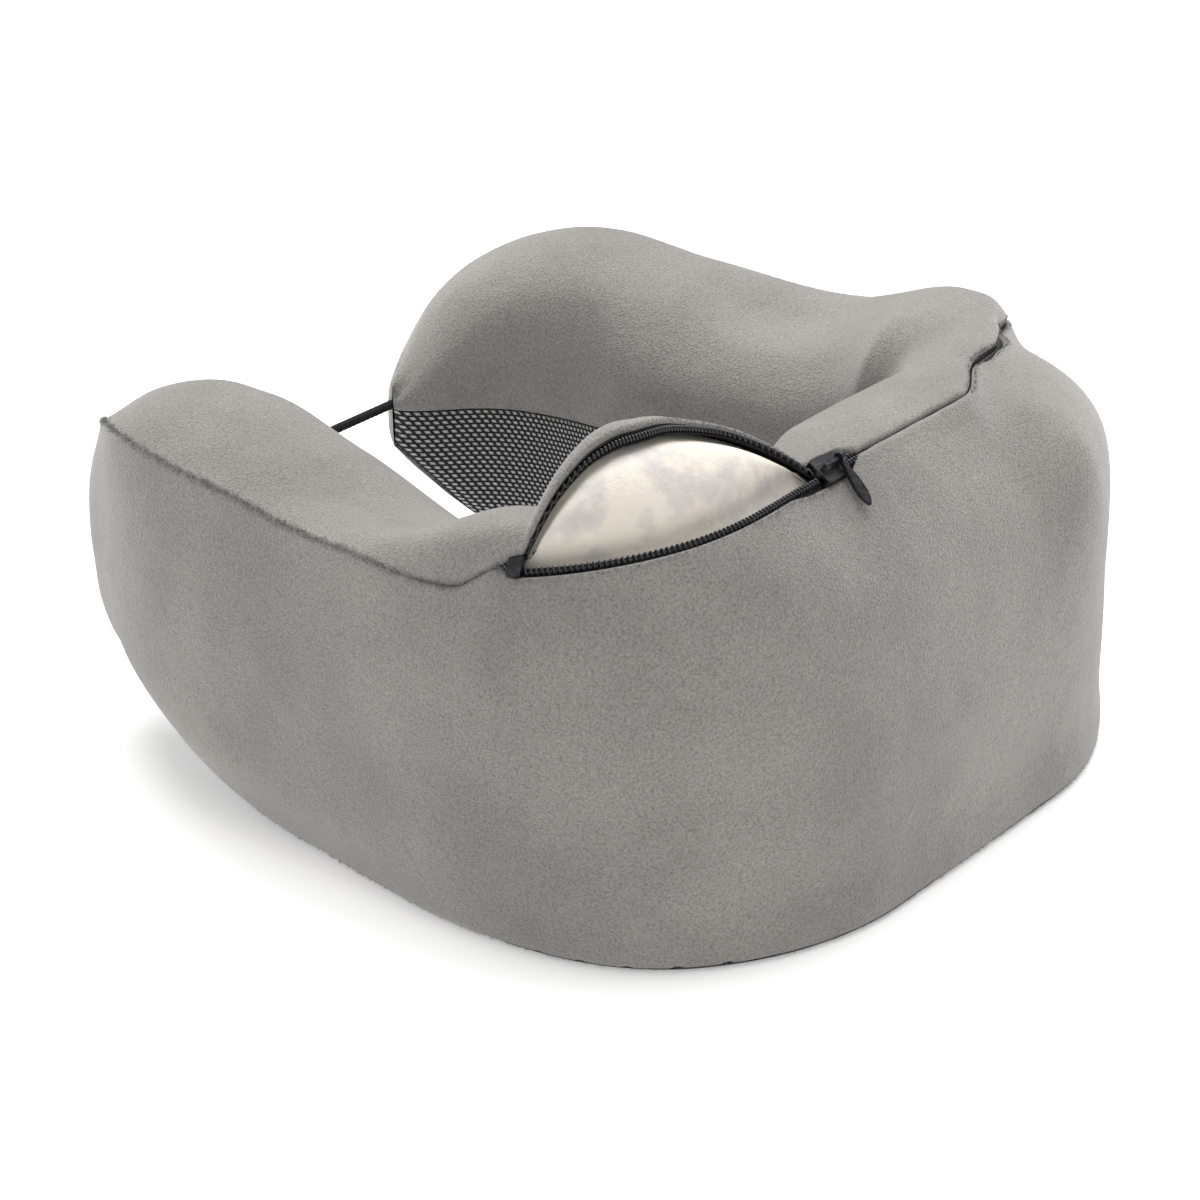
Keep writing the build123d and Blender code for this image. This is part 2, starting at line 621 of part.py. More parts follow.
lock_plane = Plane(origin=(DROP_X, CORD_Y, LOCK_Z), x_dir=(1, 0, 0), z_dir=(0, 1, 0))
bore_end = LOCK_FRONT - LOCK_BORE_DEPTH
plunger_end = bore_end + SPRING_LENGTH

with BuildPart() as cord_lock_body:
    with BuildSketch(lock_plane.offset(-LOCK_BACK)):
        Circle(LOCK_RADIUS)
    extrude(amount=LOCK_BACK + LOCK_FRONT)
    fillet(cord_lock_body.edges(), LOCK_FILLET)
    with BuildSketch(lock_plane.offset(bore_end)):
        Circle(PLUNGER_RADIUS + PLUNGER_CLEAR)
    extrude(amount=LOCK_BORE_DEPTH + 1, mode=Mode.SUBTRACT)
    with Locations((DROP_X, CORD_Y, LOCK_Z)):
        Cylinder(LOCK_HOLE_RADIUS, 3 * LOCK_RADIUS, mode=Mode.SUBTRACT)

with BuildPart() as cord_lock_plunger:
    with BuildSketch(lock_plane.offset(plunger_end)):
        Circle(PLUNGER_RADIUS)
    extrude(amount=LOCK_FRONT + BUTTON_GAP - plunger_end)
    with BuildSketch(lock_plane.offset(LOCK_FRONT + BUTTON_GAP)):
        Circle(BUTTON_RADIUS)
    extrude(amount=BUTTON_THICK)
    fillet(cord_lock_plunger.faces().sort_by(Axis.Y)[-1].edges(), BUTTON_FILLET)
    with Locations((DROP_X, CORD_Y + PLUNGER_HOLE_SHIFT, LOCK_Z)):
        Cylinder(PLUNGER_HOLE_RADIUS, 3 * LOCK_RADIUS, mode=Mode.SUBTRACT)

with BuildPart() as cord_lock_spring:
    rise = SPRING_LENGTH - 2 * (SPRING_WIRE + SPRING_CLEAR)
    spring_plane = lock_plane.offset(bore_end + SPRING_WIRE + SPRING_CLEAR)
    coil = spring_plane.location * Helix(rise / SPRING_TURNS, rise, SPRING_RADIUS)
    with BuildSketch(Plane(origin=coil @ 0, z_dir=coil % 0)):
        Circle(SPRING_WIRE)
    sweep(path=coil, is_frenet=True)

PARTS = {
    "foam_core": foam_core, "outer_panel": outer_panel, "top_panel": top_panel,
    "mesh_panel": mesh_panel, "base_panel": base_panel,
    "zipper_tape_lower": zipper_tape_lower, "zipper_tape_upper": zipper_tape_upper,
    "zipper_coil_lower": zipper_coil_lower, "zipper_coil_upper": zipper_coil_upper,
    "zipper_coil_ahead": zipper_coil_ahead, "zipper_coil_closed": zipper_coil_closed,
    "zipper_stop_left": zipper_stop_left, "zipper_stop_right": zipper_stop_right,
    "zipper_slider": zipper_slider, "zipper_pull_tab": zipper_pull_tab,
    "neck_cord": neck_cord, "cord_anchor": cord_anchor, "cord_loop": cord_loop,
    "cord_knot": cord_knot, "cord_lock_body": cord_lock_body,
    "cord_lock_plunger": cord_lock_plunger, "cord_lock_spring": cord_lock_spring,
}
for name, builder in PARTS.items():
    builder.part.label = name
    export_step(builder.part, "parts/" + name + ".step")
print("neck_cord: radius", CORD_RADIUS, "bends", CORD_BEND_RADII)
print("neck_cord: length", round(route.wires()[0].length, 1))
print("slider hinge:", PULL_HINGE, "seam at the back:", SLIDER_PLANE.origin)
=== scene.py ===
import math
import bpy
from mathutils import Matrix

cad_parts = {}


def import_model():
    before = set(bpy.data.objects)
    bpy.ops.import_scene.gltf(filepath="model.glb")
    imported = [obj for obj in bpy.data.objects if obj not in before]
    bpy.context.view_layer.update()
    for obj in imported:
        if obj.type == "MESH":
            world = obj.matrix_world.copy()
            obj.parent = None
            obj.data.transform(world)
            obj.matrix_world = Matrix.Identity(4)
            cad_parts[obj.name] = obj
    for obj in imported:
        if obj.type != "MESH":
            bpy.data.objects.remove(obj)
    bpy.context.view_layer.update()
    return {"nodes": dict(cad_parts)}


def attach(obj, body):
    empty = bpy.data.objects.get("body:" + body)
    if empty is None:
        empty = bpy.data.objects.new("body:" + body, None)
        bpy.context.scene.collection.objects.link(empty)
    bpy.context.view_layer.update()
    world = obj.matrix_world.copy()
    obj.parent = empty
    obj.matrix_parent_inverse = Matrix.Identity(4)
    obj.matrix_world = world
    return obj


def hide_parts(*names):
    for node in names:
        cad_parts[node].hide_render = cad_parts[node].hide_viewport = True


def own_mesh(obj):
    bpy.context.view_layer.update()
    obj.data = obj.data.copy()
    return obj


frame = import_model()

from types import SimpleNamespace

import bpy
import numpy as np
from mathutils import Matrix, Vector, noise

MM = 0.001
TURN = 2 * math.pi


# ---------------------------------------------------------------- camera and cord come first
def add_camera():
    azimuth, elevation, roll = (math.radians(v) for v in (-51.0, 24.8, -1.0))
    target = Vector((-0.0126, -0.009, 0.048))
    back = Vector((math.sin(azimuth) * math.cos(elevation), -math.cos(azimuth) * math.cos(elevation),
                   math.sin(elevation)))
    right = Vector((math.cos(azimuth), math.sin(azimuth), 0))
    up = back.cross(right)
    turned = right * math.cos(roll) + up * math.sin(roll)
    up = up * math.cos(roll) - right * math.sin(roll)
    data = bpy.data.cameras.new("camera")
    data.lens = 106
    data.sensor_width = 36
    data.clip_start = 0.01
    data.clip_end = 20
    camera = bpy.data.objects.new("camera", data)
    basis = Matrix((turned, up, back)).transposed().to_4x4()
    camera.matrix_world = Matrix.Translation(target + back * 1.027) @ basis
    bpy.context.scene.collection.objects.link(camera)
    bpy.context.scene.camera = camera


add_camera()

CORD_ROUTE = [(31.9, 108.5, 68), (0, 108.5, 68), (-16, 108.5, 68), (-16, 108.5, 26), (-18, 111, 12)]


# ---------------------------------------------------------------- node materials
class Nodes:
    """Short names for building a material's nodes."""

    def __init__(self, name):
        self.material = bpy.data.materials.new(name)
        self.material.use_nodes = True
        self.tree = self.material.node_tree
        self.shader = self.tree.nodes["Principled BSDF"]

    def make(self, kind):
        return self.tree.nodes.new("ShaderNode" + kind)

    def join(self, out, into):
        self.tree.links.new(out, into)

    def feed(self, value, socket):
        """A number, a colour or another node's output into a socket."""
        if isinstance(value, (int, float)):
            socket.default_value = value
        elif isinstance(value, tuple):
            socket.default_value = (*value, 1)
        else:
            self.join(value, socket)

    def place(self, uv=False):
        """The cloth's own lengths if uv, else the place in the object."""
        return self.make("TexCoord").outputs["UV" if uv else "Object"]

    def noise(self, scale, detail=2.0, roughness=0.5):
        node = self.make("TexNoise")
        node.inputs["Scale"].default_value = scale
        node.inputs["Detail"].default_value = detail
        node.inputs["Roughness"].default_value = roughness
        self.join(self.place(), node.inputs["Vector"])
        return node.outputs["Fac"]

    def math(self, op, a, b=0.0, c=0.0):
        node = self.make("Math")
        node.operation = op
        for socket, v in zip(node.inputs, (a, b, c)):
            self.feed(v, socket)
        return node.outputs[0]

    def clipped(self, value):
        return self.math("MINIMUM", self.math("MAXIMUM", value, 0.0), 1.0)

    def ramp(self, fac, stops):
        node = self.make("ValToRGB")
        while len(node.color_ramp.elements) < len(stops):
            node.color_ramp.elements.new(0.5)
        for element, (at, colour) in zip(node.color_ramp.elements, stops):
            element.position = at
            element.color = (*colour, 1)
        self.join(fac, node.inputs["Fac"])
        return node.outputs["Color"]

    def mix(self, fac, a, b, kind="MIX"):
        node = self.make("Mix")
        node.data_type = "RGBA"
        node.blend_type = kind
        for socket, v in ((node.inputs[0], fac), (node.inputs[6], a), (node.inputs[7], b)):
            self.feed(v, socket)
        return node.outputs[2]

    def bump(self, height, strength, distance, normal=None):
        """Gives the shader its normal; a second bump takes the first one's as normal."""
        node = self.make("Bump")
        node.inputs["Strength"].default_value = strength
        node.inputs["Distance"].default_value = distance
        self.join(height, node.inputs["Height"])
        if normal is not None:
            self.join(normal, node.inputs["Normal"])
        self.join(node.outputs["Normal"], self.shader.inputs["Normal"])
        return node.outputs["Normal"]

    def colour(self, out):
        self.join(out, self.shader.inputs["Base Color"])

    def roughness(self, out):
        self.join(out, self.shader.inputs["Roughness"])

    def set(self, **values):
        for key, value in values.items():
            self.shader.inputs[key.replace("_", " ")].default_value = value


def grey(v, warm=0.0):
    return (v * (1 + warm), v, v * (1 - warm))


def velour_material():
    """Short brushed pile: fine grain, soft strokes where the pile leans another way, and a pale sheen."""
    m = Nodes("velour")
    strokes = m.noise(26, 3, 0.55)
    patches = m.noise(9, 2, 0.5)
    grain = m.noise(1500, 2, 0.6)
    lean = m.math("ADD", m.math("MULTIPLY", strokes, 0.6), m.math("MULTIPLY", patches, 0.4))
    base = m.ramp(lean, [(0.36, grey(0.220, 0.06)), (0.52, grey(0.262, 0.06)), (0.66, grey(0.292, 0.06))])
    speck = m.ramp(grain, [(0.30, grey(0.55)), (0.50, grey(1.0)), (0.72, grey(1.35))])
    m.colour(m.mix(0.65, base, speck, "MULTIPLY"))
    pile = m.make("TexVoronoi")
    pile.inputs["Scale"].default_value = 1700
    m.join(m.place(), pile.inputs["Vector"])
    tufts = m.math("ADD", pile.outputs["Distance"], m.math("MULTIPLY", m.noise(1100, 3, 0.6), 1.1))
    waves = m.bump(m.noise(60, 3, 0.5), 0.18, 0.004)
    m.bump(tufts, 0.36, 0.0008, waves)
    m.set(Roughness=0.95, Sheen_Weight=0.55, Sheen_Roughness=0.45, Specular_IOR_Level=0.12)
    m.shader.inputs["Sheen Tint"].default_value = (1.0, 0.98, 0.96, 1)
    return m.material


def fuzz_material(name, dark, light):
    m = Nodes(name)
    m.colour(m.ramp(m.noise(420, 2), [(0.3, grey(dark, 0.04)), (0.7, grey(light, 0.04))]))
    m.set(Roughness=0.9, Sheen_Weight=0.4, Specular_IOR_Level=0.1)
    return m.material


def mesh_material():
    """Black spacer mesh: rows of slanting pale dashes, read from the cloth's own lengths."""
    m = Nodes("spacer_mesh")
    split = m.make("SeparateXYZ")
    m.join(m.place(True), split.inputs[0])
    across, up = split.outputs[0], split.outputs[1]
    pitch = 0.0025
    row = m.math("DIVIDE", up, pitch * 0.62)
    shift = m.math("MULTIPLY", m.math("FLOOR", row), 0.5)
    in_row = m.math("FRACT", row)
    lean = m.math("MULTIPLY", in_row, 0.35)
    along = m.math("FRACT", m.math("ADD", m.math("DIVIDE", across, pitch), m.math("ADD", shift, lean)))
    dash = m.math("SMOOTH_MIN", m.math("SUBTRACT", 0.33, m.math("ABSOLUTE", m.math("SUBTRACT", along, 0.5))),
                  m.math("SUBTRACT", 0.34, m.math("ABSOLUTE", m.math("SUBTRACT", in_row, 0.5))), 0.1)
    height = m.clipped(m.math("MULTIPLY", dash, 8.0))
    thread = m.noise(2600, 2, 0.6)
    pale = m.ramp(thread, [(0.3, grey(0.36)), (0.7, grey(0.66))])
    m.colour(m.mix(height, (0.018, 0.018, 0.019), pale))
    m.bump(m.math("ADD", height, m.math("MULTIPLY", thread, 0.3)), 0.7, 0.0006)
    m.set(Roughness=0.8, Specular_IOR_Level=0.25)
    return m.material


def woven_material(name, colour, pitch, strength=0.5):
    """Plain or twill woven tape, read from the strip's own lengths."""
    m = Nodes(name)
    split = m.make("SeparateXYZ")
    m.join(m.place(True), split.inputs[0])
    a = m.math("SINE", m.math("MULTIPLY", m.math("ADD", split.outputs[0], split.outputs[1]), TURN / pitch))
    b = m.math("SINE", m.math("MULTIPLY", split.outputs[0], TURN / (pitch * 0.6)))
    weave = m.math("ADD", m.math("MULTIPLY", a, 0.6), m.math("MULTIPLY", b, 0.4))
    tone = m.math("ADD", m.math("MULTIPLY", weave, 0.25), m.noise(900, 2))
    m.colour(m.ramp(tone, [(0.25, tuple(0.5 * c for c in colour)), (0.8, tuple(1.6 * c for c in colour))]))
    m.bump(weave, strength, 0.0003)
    m.set(Roughness=0.85, Specular_IOR_Level=0.25)
    return m.material


def foam_material():
    """Moulded memory foam with its skin: cream, with faint lilac-grey blotches, small pores and marks."""
    m = Nodes("foam")
    cloud = m.noise(30, 4, 0.6)
    base = m.ramp(cloud, [(0.36, (0.64, 0.60, 0.575)), (0.46, (0.81, 0.755, 0.66)),
                          (0.62, (0.88, 0.825, 0.725))])
    blotch = m.ramp(m.noise(70, 3, 0.6), [(0.50, (0, 0, 0)), (0.62, (1, 1, 1))])
    m.colour(m.mix(m.math("MULTIPLY", blotch, 0.5), base, (0.56, 0.53, 0.54)))
    pores = m.make("TexVoronoi")
    pores.inputs["Scale"].default_value = 900
    m.join(m.place(), pores.inputs["Vector"])
    first = m.bump(m.noise(110, 4, 0.6), 0.3, 0.0015)
    m.bump(pores.outputs["Distance"], 0.25, 0.0004, first)
    m.set(Roughness=0.75, Specular_IOR_Level=0.25, Subsurface_Weight=0.08, Subsurface_Scale=0.004)
    return m.material


def rubber_cloth_material():
    """Dark underside cloth with rows of raised rubber dots."""
    m = Nodes("base_cloth")
    dots = m.make("TexVoronoi")
    dots.inputs["Scale"].default_value = 210
    dots.inputs["Randomness"].default_value = 0.0
    m.join(m.place(True), dots.inputs["Vector"])
    disc = m.clipped(m.math("MULTIPLY", m.math("SUBTRACT", 0.34, dots.outputs["Distance"]), 9))
    weave = m.noise(1400, 3, 0.6)
    m.colour(m.mix(disc, m.ramp(weave, [(0.3, grey(0.02)), (0.7, grey(0.06))]), (0.012, 0.012, 0.013)))
    m.bump(m.math("ADD", disc, m.math("MULTIPLY", weave, 0.25)), 0.6, 0.0007)
    m.set(Roughness=0.75, Specular_IOR_Level=0.3)
    return m.material


def metal_material(name, colour, rough):
    """Painted or plated metal, rubbed brighter in spots."""
    m = Nodes(name)
    m.colour(m.ramp(m.noise(500, 4, 0.7), [(0.45, colour), (0.75, tuple(2.2 * c for c in colour))]))
    m.roughness(m.ramp(m.noise(900, 3), [(0.3, grey(rough)), (0.8, grey(rough + 0.18))]))
    m.bump(m.noise(700, 3), 0.12, 0.0003)
    m.set(Metallic=0.85)
    return m.material


def plastic_material(name, colour, rough=0.38):
    m = Nodes(name)
    dark, pale = (tuple(k * c for c in colour) for k in (0.8, 1.3))
    m.colour(m.ramp(m.noise(260, 3), [(0.3, dark), (0.7, pale)]))
    m.bump(m.noise(1500, 2), 0.15, 0.0002)
    m.roughness(m.ramp(m.noise(90, 3), [(0.3, grey(rough)), (0.8, grey(rough + 0.15))]))
    m.set(Specular_IOR_Level=0.5)
    return m.material


VELOUR = velour_material()
# pile fibres darker than the velour: partly their own colour, partly painted shade along the seams and edges
PILE_WITH_SEAM_SHADE = fuzz_material("velour_pile_seam_shade", 0.12, 0.30)
# near-black backing: painted shade in the zipper's slits and under the lifted flap
BACKING_PAINTED_SHADE = fuzz_material("velour_backing_painted_shade", 0.030, 0.055)
MESH = mesh_material()
TAPE = woven_material("zipper_tape", (0.016, 0.016, 0.018), 0.0012)
WEBBING = woven_material("webbing", (0.02, 0.02, 0.022), 0.0016, 0.8)
CORD = woven_material("cord_braid", (0.014, 0.014, 0.016), 0.0015, 0.6)
FOAM = foam_material()
BASE = rubber_cloth_material()
COIL = plastic_material("zipper_coil", (0.035, 0.035, 0.038), 0.20)
METAL = metal_material("black_nickel", (0.045, 0.044, 0.047), 0.30)
STEEL = metal_material("spring_steel", (0.40, 0.40, 0.41), 0.25)
LOCK = plastic_material("lock_plastic", (0.018, 0.018, 0.019))

# ---------------------------------------------------------------- the pillow's shape, as in the CAD
SPINE_LENGTH, BACK_Y = 321.0, -99.0
CORNER = (35.0, 135.0, 103.0)
FRONT = (223.0, 86.0, 52.0)
STATION = [0.12, 0.27, 0.41, 0.56, 0.70, 0.83, 0.93, 1.0]
COLUMNS = np.array([
    [33, 26, 17, 21, 29, 36, 43, 27],
    [30, 34.5, 39, 42, 41, 30, 17, 12],
    [2, 8, 10.5, 18.5, 24, 33.5, 32, 11],
    [118.5, 116.5, 108.5, 102.5, 105.5, 106.5, 85, 75],
    [-10, -8, -6, -4, -4, -4, -3, -2],
    [117.5, 118.5, 117.5, 101, 109.5, 114, 98, 69],
    [62, 62.5, 65, 68, 69, 68, 68, 67],
    [0, 0, 0, 0, 4, 20.5, 30, 54],
    [1.08, 1.0, 0.72, 0.62, 0.62, 0.62, 0.70, 0.70],
    [0.10, 0.10, 0.20, 0.38, 0.38, 0.38, 0.20, 0.20]], float).T
NOSE_START, NOSE_POWER = 0.87, 2.3
FLAP_AT = [0.105, 0.12, 0.14, 0.16, 0.19, 0.22, 0.27, 0.31, 0.34, 0.36, 0.376]
FLAP_LIFT = [0, 0.31, 0.63, 0.84, 0.95, 0.95, 0.84, 0.73, 0.55, 0.32, 0]      # 1 stands straight up
FLAP_CURL, FLAP_STRETCH = 22.0, 0.05
FLAP_LIMP = 0.25        # share of its lift that the flap's root takes
ZIP_END = 0.385         # the zipper runs between these stations, left and right
SEAM_DIP = 6.0          # the seam sags this far past the mouth's left end
SEAM_INSET = 13.0       # and runs this much further in round the right corner
CORNER_FULL = np.array([0.5, 1.4])      # where the cover's shoulder stands out and up
CORNER_SHOULDER = 0.30
# stretches of the spine, as window() takes them
DIP_SPAN, CORNER_SPAN = (0.388, 0.04, 0.43, 0.12), (0.11, 0.09, 0.31, 0.07)
PLUMP_SPAN, WAVY_SPAN = (-0.11, 0.09, 0.40, 0.14), (0.14, 0.05, 0.31, 0.03)
PINCH_SPAN = (0.22, 0.03, 0.36, 0.03)
SLIDER_X, TRAVEL = -28.0, 55.0
TRAVEL_END = SLIDER_X + TRAVEL
SLIDER_END = 5.9        # from the slider's middle to the coils at its ends
LIP_START, LIP_END = SLIDER_X + 6.2, TRAVEL_END + 12.0
LIP_CLOSES = 8.0        # the lips meet over this length behind the slider
MOUTH_END, CORNER_START, PILE_END, FOAM_END = -0.10, 0.125, 0.985, 0.985


def smooth(x):
    x = min(max(x, 0.0), 1.0)
    return x * x * (3 - 2 * x)


def window(x, start, rise, stop, fall):
    """0, then up from start over rise, 1, then down from stop over fall, and 0 again."""
    return smooth((x - start) / rise) * (1 - smooth((x - stop) / fall))


def curve_through(knots, values, at, level_start=False):
    knots, values = np.asarray(knots, float), np.asarray(values, float)
    slope = np.gradient(values, knots, axis=0)
    if level_start:
        slope[0] = 0
    at = np.atleast_1d(at)
    i = np.clip(np.searchsorted(knots, at, side="right") - 1, 0, len(knots) - 2)
    step = (knots[i + 1] - knots[i])[:, None]
    u = (at[:, None] - knots[i][:, None]) / step
    rise = u * u * (3 - 2 * u)
    return ((1 - rise) * values[i] + rise * values[i + 1] + u * (1 - u) ** 2 * step * slope[i]
            - u * u * (1 - u) * step * slope[i + 1])


def spine_line(count=1201):
    s = np.linspace(0, SPINE_LENGTH, count)
    corner = np.array([smooth((v - CORNER[0]) / CORNER[1]) for v in s])
    front = np.array([smooth((v - FRONT[0]) / FRONT[1]) for v in s])
    heading = np.radians(-90 - CORNER[2] * corner - FRONT[2] * front)
    dx, dy = np.sin(heading), -np.cos(heading)
    x = np.concatenate([[0], np.cumsum((dx[1:] + dx[:-1]) / 2) * (s[1] - s[0])])
    y = BACK_Y + np.concatenate([[0], np.cumsum((dy[1:] + dy[:-1]) / 2) * (s[1] - s[0])])
    return s, x, y, heading


SPINE = spine_line()


def station(u):
    t = abs(u)
    side = -1 if u < 0 else 1
    s, x, y, heading = (np.interp(t * SPINE_LENGTH, SPINE[0], row) for row in SPINE)
    out, inn, seam_r, seam_z, crown_r, crown_z, mesh_z, lift, foot, shoulder = curve_through(
        STATION, COLUMNS, max(t, STATION[0]), True)[0]
    nose = math.sqrt(max(1 - max(0.0, (t - NOSE_START) / (1 - NOSE_START)) ** NOSE_POWER, 0.0016))
    seam_z -= SEAM_DIP * window(-u, *DIP_SPAN)
    corner = window(u, *CORNER_SPAN)
    seam_r -= SEAM_INSET * corner
    shoulder += CORNER_SHOULDER * corner
    return SimpleNamespace(
        u=u, x=-side * x, y=y, normal=np.array([-side * math.cos(heading), math.sin(heading)]),
        out=out * nose, inn=inn * nose, seam_r=min(seam_r, out) * nose, seam_z=seam_z,
        crown_r=crown_r * nose, crown_z=crown_z, mesh_z=mesh_z, lift=max(lift, 0.0), foot=foot,
        shoulder=shoulder, corner=corner)


def mouth(u):
    """How far the flap is lifted at u, from 0 to about 1."""
    if not -FLAP_AT[-1] < u < -FLAP_AT[0]:
        return 0.0
    return max(0.0, float(curve_through(FLAP_AT, np.array(FLAP_LIFT)[:, None], -u)[0, 0]))


PER_SPAN = 12
FOOT_PART = 2 * PER_SPAN        # a wall line's points up to the foot seam
TOP_PART = 5 * PER_SPAN         # a top line's points up to the mesh seam


def dense(control):
    """A section's control points as a smooth line."""
    control = np.array(control, float)
    knots = np.concatenate([[0], np.cumsum(np.hypot(*np.diff(control, axis=0).T) + 1e-3)])
    spans = [np.linspace(a, b, PER_SPAN, endpoint=False) for a, b in zip(knots, knots[1:])]
    return curve_through(knots, control, np.concatenate(spans + [knots[-1:]]))


def wall_run(p):
    """Section of the underside and outer wall, from the mesh's foot to the zipper seam."""
    height, reach = p.seam_z - p.lift, p.out - p.seam_r
    line = dense([
        (-0.72 * p.inn, p.lift + 0.6), (0, p.lift), (p.out * (p.foot - 0.05), p.lift + 0.6),
        (p.out * (0.72 + 0.27 * p.foot), p.lift + 0.14 * height), (p.out, p.lift + 0.42 * height),
        (p.seam_r + reach * (0.5 + p.shoulder), p.lift + 0.80 * height), (p.seam_r, p.seam_z)])
    line[:, 1] = np.maximum(line[:, 1], p.lift)
    k = np.linspace(0, 1, 2 * PER_SPAN + 1)[:, None]
    line[-len(k):] += p.corner * np.sin(math.pi * k ** 1.5) ** 2 * CORNER_FULL
    return line


def top_run(p):
    """Section of the top and the mesh wall, from the zipper seam over the crest and down inside."""
    below, above = p.mesh_z - p.lift, p.crown_z - p.mesh_z
    fullness = 2 * min(1.0, (p.seam_r - p.crown_r) / 20) + 0.22 * abs(p.crown_z - p.seam_z)
    full = plump(p.u)
    ease = smooth((p.u - 0.10) / 0.12) * full
    return dense([
        (p.seam_r, p.seam_z),
        ((p.seam_r + p.crown_r + fullness) / 2, (p.seam_z + p.crown_z) / 2 + fullness),
        (p.crown_r - 5 * full, p.crown_z + 1.5 * full),
        (-(0.62 + 0.26 * full) * p.inn + 0.2 * p.crown_r * (1 - full),
         p.mesh_z + (0.84 + 0.12 * full - 0.05 * ease) * above),
        (-(0.93 + 0.13 * full + 0.05 * ease) * p.inn, p.mesh_z + (0.5 + 0.22 * full - 0.06 * ease) * above),
        (-p.inn, p.mesh_z), (-0.98 * p.inn, p.lift + 0.42 * below),
        (-0.88 * p.inn, p.lift + 0.12 * below), (-0.72 * p.inn, p.lift + 0.6)])


def plump(u):
    """1 where the top of the back and of the right corner is broad and full, else 0."""
    return window(u, *PLUMP_SPAN)


def flap_run(p):
    """Section of the top alone, rolled up and back where the mouth is open."""
    line = top_run(p)[:TOP_PART + 1]
    amount = mouth(p.u)
    if amount == 0:
        return line
    step = np.diff(line[::-1], axis=0)
    length = np.hypot(*step.T) * (1 + FLAP_STRETCH * amount)
    angle = np.unwrap(np.arctan2(step[:, 1], step[:, 0]))
    curl = np.clip((length.sum() - np.cumsum(length)) / FLAP_CURL, FLAP_LIMP, 1.0)
    angle += (math.pi / 2 - angle) * amount * curl
    moves = np.stack([length * np.cos(angle), length * np.sin(angle)], axis=1)
    return (line[-1] + np.concatenate([[[0, 0]], np.cumsum(moves, axis=0)]))[::-1]


def unit(v):
    return v / np.hypot(*v)


def arc(line):
    return np.concatenate([[0], np.cumsum(np.hypot(*np.diff(line, axis=0).T))])


def at_arc(line, where):
    """Points on a section line at these lengths from its start, and its inward normals there."""
    s = arc(line)
    tangent = np.gradient(line, s + np.arange(len(s)) * 1e-9, axis=0)
    point = np.stack([np.interp(where, s, line[:, i]) for i in (0, 1)], axis=1)
    t = np.stack([np.interp(where, s, tangent[:, i]) for i in (0, 1)], axis=1)
    t /= np.hypot(*t.T)[:, None]
    return point, np.stack([-t[:, 1], t[:, 0]], axis=1)


def zip_frame(p, upper):
    """The zipper's place in a section: an edge's end, the way across to the other side, and outwards."""
    wall, top = wall_run(p), top_run(p)
    across = unit(unit(wall[-1] - wall[-3]) + unit(top[2] - top[0]))
    edge = wall[-1]
    if upper:
        flap = flap_run(p)
        own = min(1.0, 3 * mouth(p.u))
        across = unit((1 - own) * across + own * unit(flap[2] - flap[0]))
        edge = flap[0]
    return edge, across, np.array([across[1], -across[0]])


def world(p, rz):
    """Section points, out from the spine and up, in the frame's metres."""
    rz = np.asarray(rz, float)
    r, z = rz[..., 0], rz[..., 1]
    return np.stack([p.x + r * p.normal[0], p.y + r * p.normal[1], z], axis=-1) * MM


# ---------------------------------------------------------------- mesh helpers
def value_noise(points, size, seed):
    """Smooth noise from -1 to 1 at points in metres, with features about this big."""
    shift = Vector((seed * 7.3, seed * 3.1, seed * 5.7))
    values = [noise.noise(Vector(q) / size + shift) for q in points.reshape(-1, 3)]
    return np.array(values).reshape(points.shape[:-1])


def add_piece(name, verts, faces, material, uvs=None):
    """A smooth-shaded mesh that rides on the pillow."""
    mesh = bpy.data.meshes.new(name)
    mesh.from_pydata([tuple(v) for v in verts], [], faces)
    mesh.update()
    mesh.polygons.foreach_set("use_smooth", [True] * len(mesh.polygons))
    if uvs is not None:
        layer = mesh.uv_layers.new(name="UVMap")
        loops = np.empty(len(mesh.loops), np.int32)
        mesh.loops.foreach_get("vertex_index", loops)
        layer.data.foreach_set("uv", np.asarray(uvs, np.float32)[loops].ravel())
    mesh.materials.append(material)
    obj = bpy.data.objects.new(name, mesh)
    bpy.context.scene.collection.objects.link(obj)
    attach(obj, "pillow")
    return obj


def grid_faces(rows, cols, wrap=False, flip=False, start=0):
    faces = []
    for i in range(rows - 1):
        for j in range(cols if wrap else cols - 1):
            k = (j + 1) % cols
            a, b = start + i * cols + j, start + i * cols + k
            quad = (a, b, b + cols, a + cols)
            faces.append(quad[::-1] if flip else quad)
    return faces


def capped_faces(rows, cols):
    """A closed tube's faces, with its two ends."""
    first, last = tuple(range(cols)), tuple((rows - 1) * cols + j for j in range(cols))
    return grid_faces(rows, cols, True) + [first[::-1], last]


def grid_piece(name, grid, material, uv=None, wrap=False, flip=False):
    rows, cols = grid.shape[:2]
    return add_piece(name, grid.reshape(-1, 3), grid_faces(rows, cols, wrap, flip), material,
                     None if uv is None else uv.reshape(-1, 2))


def grid_normals(grid):
    du, dv = np.gradient(grid, axis=0), np.gradient(grid, axis=1)
    n = np.cross(du, dv)
    return n / np.maximum(np.linalg.norm(n, axis=-1, keepdims=True), 1e-12)


# the noses start at this station, and this share of the sections comes before them
NOSE_FROM, NOSE_SHARE = 0.90, 0.93


def whole_stations(count):
    """Stations over the whole pillow, closer together on the rounded noses."""
    v = np.linspace(-1, 1, count)
    body = v * NOSE_FROM / NOSE_SHARE
    turn = np.clip((np.abs(v) - NOSE_SHARE) / (1 - NOSE_SHARE), 0, 1) * math.pi / 2
    nose = np.sign(v) * (NOSE_FROM + (1 - NOSE_FROM) * np.sin(turn))
    return np.where(np.abs(v) <= NOSE_SHARE, body, nose)


GAP_CLOSED, GAP_LEAST, GAP_SLIDER, GAP_MOUTH, GAP_UNDER_LIPS = 0.75, 0.35, 4.6, 3.2, 4.7
GAP_WOBBLE, GAP_FADE, GAP_PAST_END = 0.22, 0.02, 0.012


